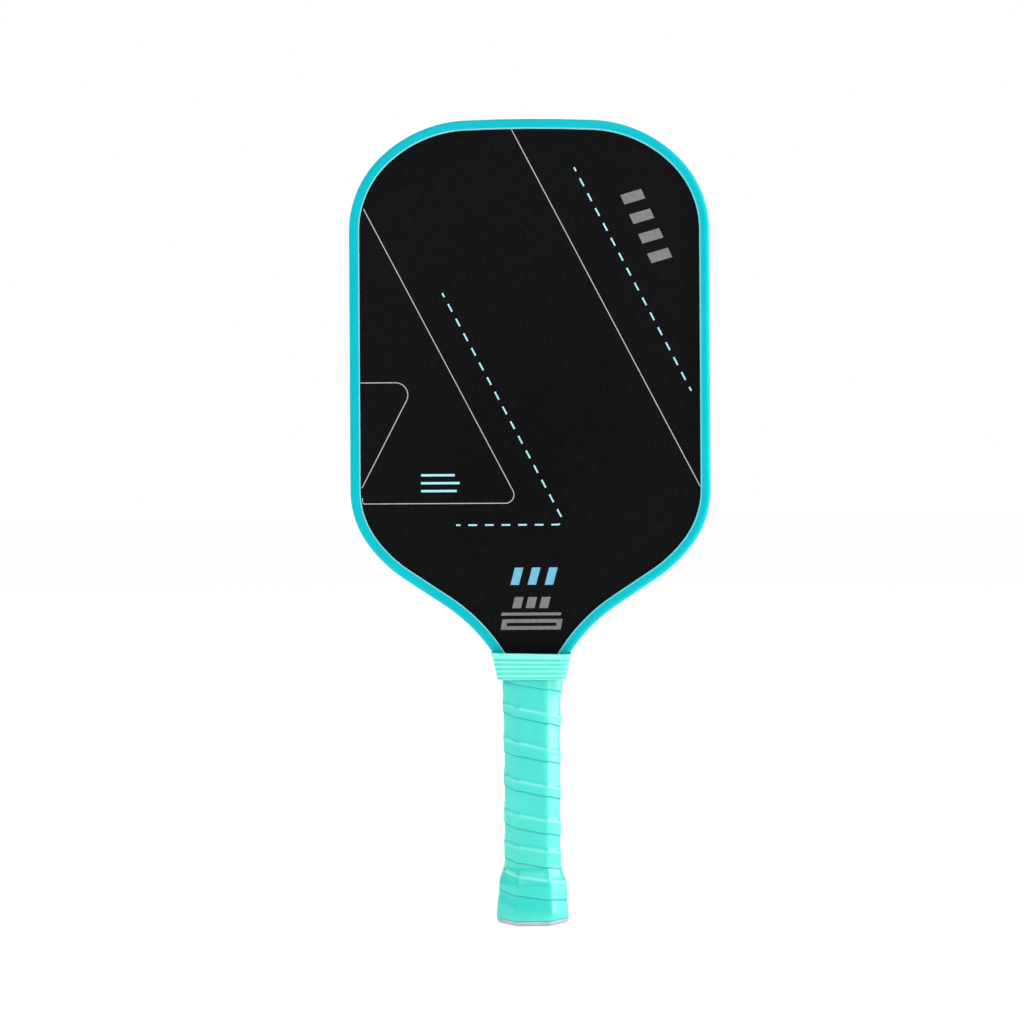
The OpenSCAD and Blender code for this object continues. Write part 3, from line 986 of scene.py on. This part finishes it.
def overgrip_film():
    """Tacky polyurethane overgrip: a soft sheen and fine pores, with painted highlights on the ridges and
    painted shade in the creases and under the collar.
    """
    s = Surface("overgrip_film", (0.012, 0.66, 0.56), 0.32, specular=0.7)
    cloud = s.noise((70, 70, 30), detail=3)
    pores = s.noise((2200, 2200, 2200), detail=3)
    haze = s.noise((260, 260, 120), detail=3)
    body = s.blend(s.spread(cloud, 0, 1), (0.004, 0.60, 0.505), (0.014, 0.66, 0.565))
    # painted highlight: the ridges are lightened
    body = s.marked("ridge_highlight", 0.5, body, (0.26, 0.88, 0.80))
    # painted shade: the creases and the band under the collar are darkened
    s.color(s.marked("crease_shade", 0.9, body, (0.0, 0.40, 0.36)))
    matt = s.math("MULTIPLY", s.attribute("crease_shade"), 0.95)
    s.roughness(s.math("MAXIMUM", s.spread(haze, 0.28, 0.36), matt))
    s.bump(pores, 0.035, 0.6)
    s.bump(haze, 0.03)
    s.set("Coat Weight", 0.35)
    s.set("Coat Roughness", 0.22)
    return s.mat


def strip_cut():
    """The overgrip's cut edge and underside: darker and matt."""
    s = Surface("overgrip_cut", (0.0, 0.36, 0.32), 0.9, specular=0.02)
    grain = s.noise((900, 900, 900))
    s.color(s.blend(s.spread(grain, 0, 1), (0.0, 0.33, 0.29), (0.002, 0.40, 0.36)))
    s.bump(grain, 0.02)
    return s.mat


def cap_plastic():
    """Pale grey moulded plastic, with a painted shadow darkening it where it stands."""
    s = Surface("cap_plastic", (0.42, 0.49, 0.52), 0.4, specular=0.2)
    mottle = s.noise((200, 200, 200), detail=3)
    body = s.blend(s.spread(mottle, 0, 1), (0.38, 0.45, 0.48), (0.46, 0.53, 0.56))
    # painted shadow where the cap stands
    s.color(s.marked("foot_shadow", 0.8, body, (0.12, 0.14, 0.15)))
    s.bump(s.noise((1200, 1200, 1200)), 0.01, 0.6)
    return s.mat


def speckled(name, dark, light, rough, scale, depth, specular=0.4, metallic=0.0):
    """A plain material with a fine mottle in colour, gloss and relief."""
    s = Surface(name, light, rough, specular)
    mottle = s.noise((scale, scale, scale), detail=3)
    fine = s.noise((scale * 6, scale * 6, scale * 6))
    s.color(s.blend(s.spread(mottle, 0, 1), dark, light))
    s.roughness(s.spread(fine, rough - 0.06, rough + 0.08))
    s.bump(fine, depth, 0.6)
    s.set("Metallic", metallic)
    return s.mat


def printed_ink(name, dark, light):
    """Screen-printed ink that lets some of the weave through."""
    s = Surface(name, light, 0.5, specular=0.3)
    streaks = s.noise((2300, 2300, 330))
    wear = s.noise((500, 500, 500), detail=3)
    tone = s.math("ADD", s.math("MULTIPLY", streaks, 0.5), s.math("MULTIPLY", wear, 0.5))
    s.color(s.blend(s.spread(tone, 0, 1), dark, light))
    s.bump(streaks, 0.01, 0.4)
    return s.mat


def paint(obj, *mats):
    """Gives the piece its materials, keeping which face has which."""
    indices = [polygon.material_index for polygon in obj.data.polygons]
    obj.data.materials.clear()
    for mat in mats:
        obj.data.materials.append(mat)
    obj.data.polygons.foreach_set("material_index", [min(i, len(mats) - 1) for i in indices])


def paint_nodes(names, mat):
    """Gives CAD nodes that stay their material."""
    for name in names:
        paint(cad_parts[name], mat)


# ---------- Set: camera, lights, floor ----------
CAMERA_AT = (-0.00975, -1.0, 0.2132)
CAMERA_ROLL = 0.34
LENS = 67.12
SENSOR = 36
MIDDLE = (0, 0, 0.2)         # what most lights are aimed at
FLOOR_HALF = 60
FLOOR_Z = -0.0006


def make_camera():
    data = bpy.data.cameras.new("camera")
    data.lens = LENS
    data.sensor_width = SENSOR
    camera = bpy.data.objects.new("camera", data)
    camera.location = CAMERA_AT
    camera.rotation_euler = (math.radians(90), math.radians(CAMERA_ROLL), 0)
    scene.collection.objects.link(camera)
    scene.camera = camera


def softbox(name, location, target, size, watts, color=(1, 1, 1)):
    data = bpy.data.lights.new(name, "AREA")
    data.shape = "RECTANGLE"
    data.size = size[0]
    data.size_y = size[1]
    data.energy = watts
    data.color = color
    lamp = bpy.data.objects.new(name, data)
    lamp.location = location
    lamp.rotation_euler = (Vector(target) - Vector(location)).to_track_quat("-Z", "Y").to_euler()
    scene.collection.objects.link(lamp)


def make_world():
    """A white background that lights the object only dimly."""
    world = bpy.data.worlds.new("studio")
    scene.world = world
    world.use_nodes = True
    tree = world.node_tree
    tree.nodes.clear()
    lighting = tree.nodes.new("ShaderNodeBackground")
    lighting.inputs["Color"].default_value = (0.3, 0.3, 0.3, 1)
    seen = tree.nodes.new("ShaderNodeBackground")
    seen.inputs["Color"].default_value = (1, 1, 1, 1)
    path = tree.nodes.new("ShaderNodeLightPath")
    mix = tree.nodes.new("ShaderNodeMixShader")
    out = tree.nodes.new("ShaderNodeOutputWorld")
    tree.links.new(path.outputs["Is Camera Ray"], mix.inputs[0])
    tree.links.new(lighting.outputs[0], mix.inputs[1])
    tree.links.new(seen.outputs[0], mix.inputs[2])
    tree.links.new(mix.outputs[0], out.inputs[0])


def make_lights():
    softbox("right_box", (0.55, -0.02, 0.3), (0, -0.02, 0.25), (0.18, 0.95), 3.9, (1, 0.97, 0.90))
    softbox("left_box", (-1.35, -0.05, 0.85), MIDDLE, (0.8, 0.6), 3.6)
    softbox("front_fill", (-0.15, -1.8, 1.15), MIDDLE, (1.5, 0.6), 9)
    softbox("top_box", (0.1, -0.6, 1.6), MIDDLE, (0.7, 0.6), 7)


def make_floor():
    """A very large pale floor just under the butt, so bright that it meets the background."""
    mesh = bpy.data.meshes.new("floor")
    corners = [(x * FLOOR_HALF, y * FLOOR_HALF, FLOOR_Z)
               for x, y in ((-1, -1), (1, -1), (1, 1), (-1, 1))]
    mesh.from_pydata(corners, [], [(0, 1, 2, 3)])
    floor = bpy.data.objects.new("floor", mesh)
    scene.collection.objects.link(floor)
    s = Surface("floor_paper", (0.9, 0.9, 0.9), 0.9, specular=0.0)
    s.set("Emission Color", (1, 1, 1, 1))
    s.set("Emission Strength", 0.72)
    floor.data.materials.append(s.mat)


scene.view_settings.view_transform = "Standard"
make_camera()
make_world()
make_lights()
make_floor()

# Pieces
paint(make_edge_guard(), guard_rubber())
paint(make_overgrip(), overgrip_film(), strip_cut())
paint(make_finishing_tape(),
      speckled("vinyl_tape", (0.02, 0.42, 0.38), (0.03, 0.5, 0.45), 0.3, 300, 0.01))
paint(make_collar(), collar_rubber())
paint(make_butt_cap(), cap_plastic())
paint(make_badge(),
      speckled("badge_plastic", (0.01, 0.5, 0.52), (0.02, 0.58, 0.6), 0.2, 150, 0.005))

# Prints, the same on both faces
grey_ink = printed_ink("ink_grey", (0.13, 0.135, 0.14), (0.22, 0.23, 0.24))
line_ink = printed_ink("ink_line", (0.38, 0.39, 0.41), (0.50, 0.51, 0.53))
blue_ink = printed_ink("ink_blue", (0.30, 0.66, 0.76), (0.44, 0.80, 0.88))
wide_ink = printed_ink("ink_wide", (0.10, 0.40, 0.58), (0.17, 0.52, 0.70))
PRINTS = {
    "print_lines": (thin_lines(), line_ink),
    "print_dashes": (dashes(), blue_ink),
    "print_marks_grey": (grey_marks(), grey_ink),
    "print_plate": (plate_marks(), grey_ink),
    "print_marks_blue": (blue_marks(), blue_ink),
    "print_marks_wide": (wide_marks(), wide_ink),
}
for side in (1, -1):
    for name, (shapes, ink) in PRINTS.items():
        paint(make_print(name, shapes, side), ink)

# CAD nodes that stay
paint_nodes(["face_front", "face_back"], carbon_face())
paint_nodes(["core_panel"],
            speckled("honeycomb_pp", (0.62, 0.60, 0.52), (0.74, 0.72, 0.66), 0.45, 260, 0.02))
paint_nodes(["bond_film_front", "bond_film_back"],
            speckled("cured_film", (0.36, 0.29, 0.13), (0.48, 0.40, 0.2), 0.3, 400, 0.01))
paint_nodes(["edge_guard_tape"],
            speckled("foam_strip", (0.70, 0.69, 0.65), (0.82, 0.81, 0.78), 0.8, 900, 0.03))
paint_nodes(["handle_shell_front", "handle_shell_back"],
            speckled("moulded_foam", (0.035, 0.038, 0.042), (0.06, 0.065, 0.07), 0.7, 700, 0.05,
                     specular=0.3))
paint_nodes(["butt_cap_staples"],
            speckled("staple_steel", (0.5, 0.5, 0.52), (0.65, 0.65, 0.67), 0.28, 900, 0.005,
                     metallic=1.0))
paint_nodes(["base_grip"],
            speckled("cushion_foam", (0.012, 0.014, 0.015), (0.03, 0.033, 0.035), 0.65, 800, 0.04))
paint_nodes(["base_grip_tape"],
            speckled("dark_tape", (0.008, 0.009, 0.01), (0.02, 0.021, 0.022), 0.35, 400, 0.01))
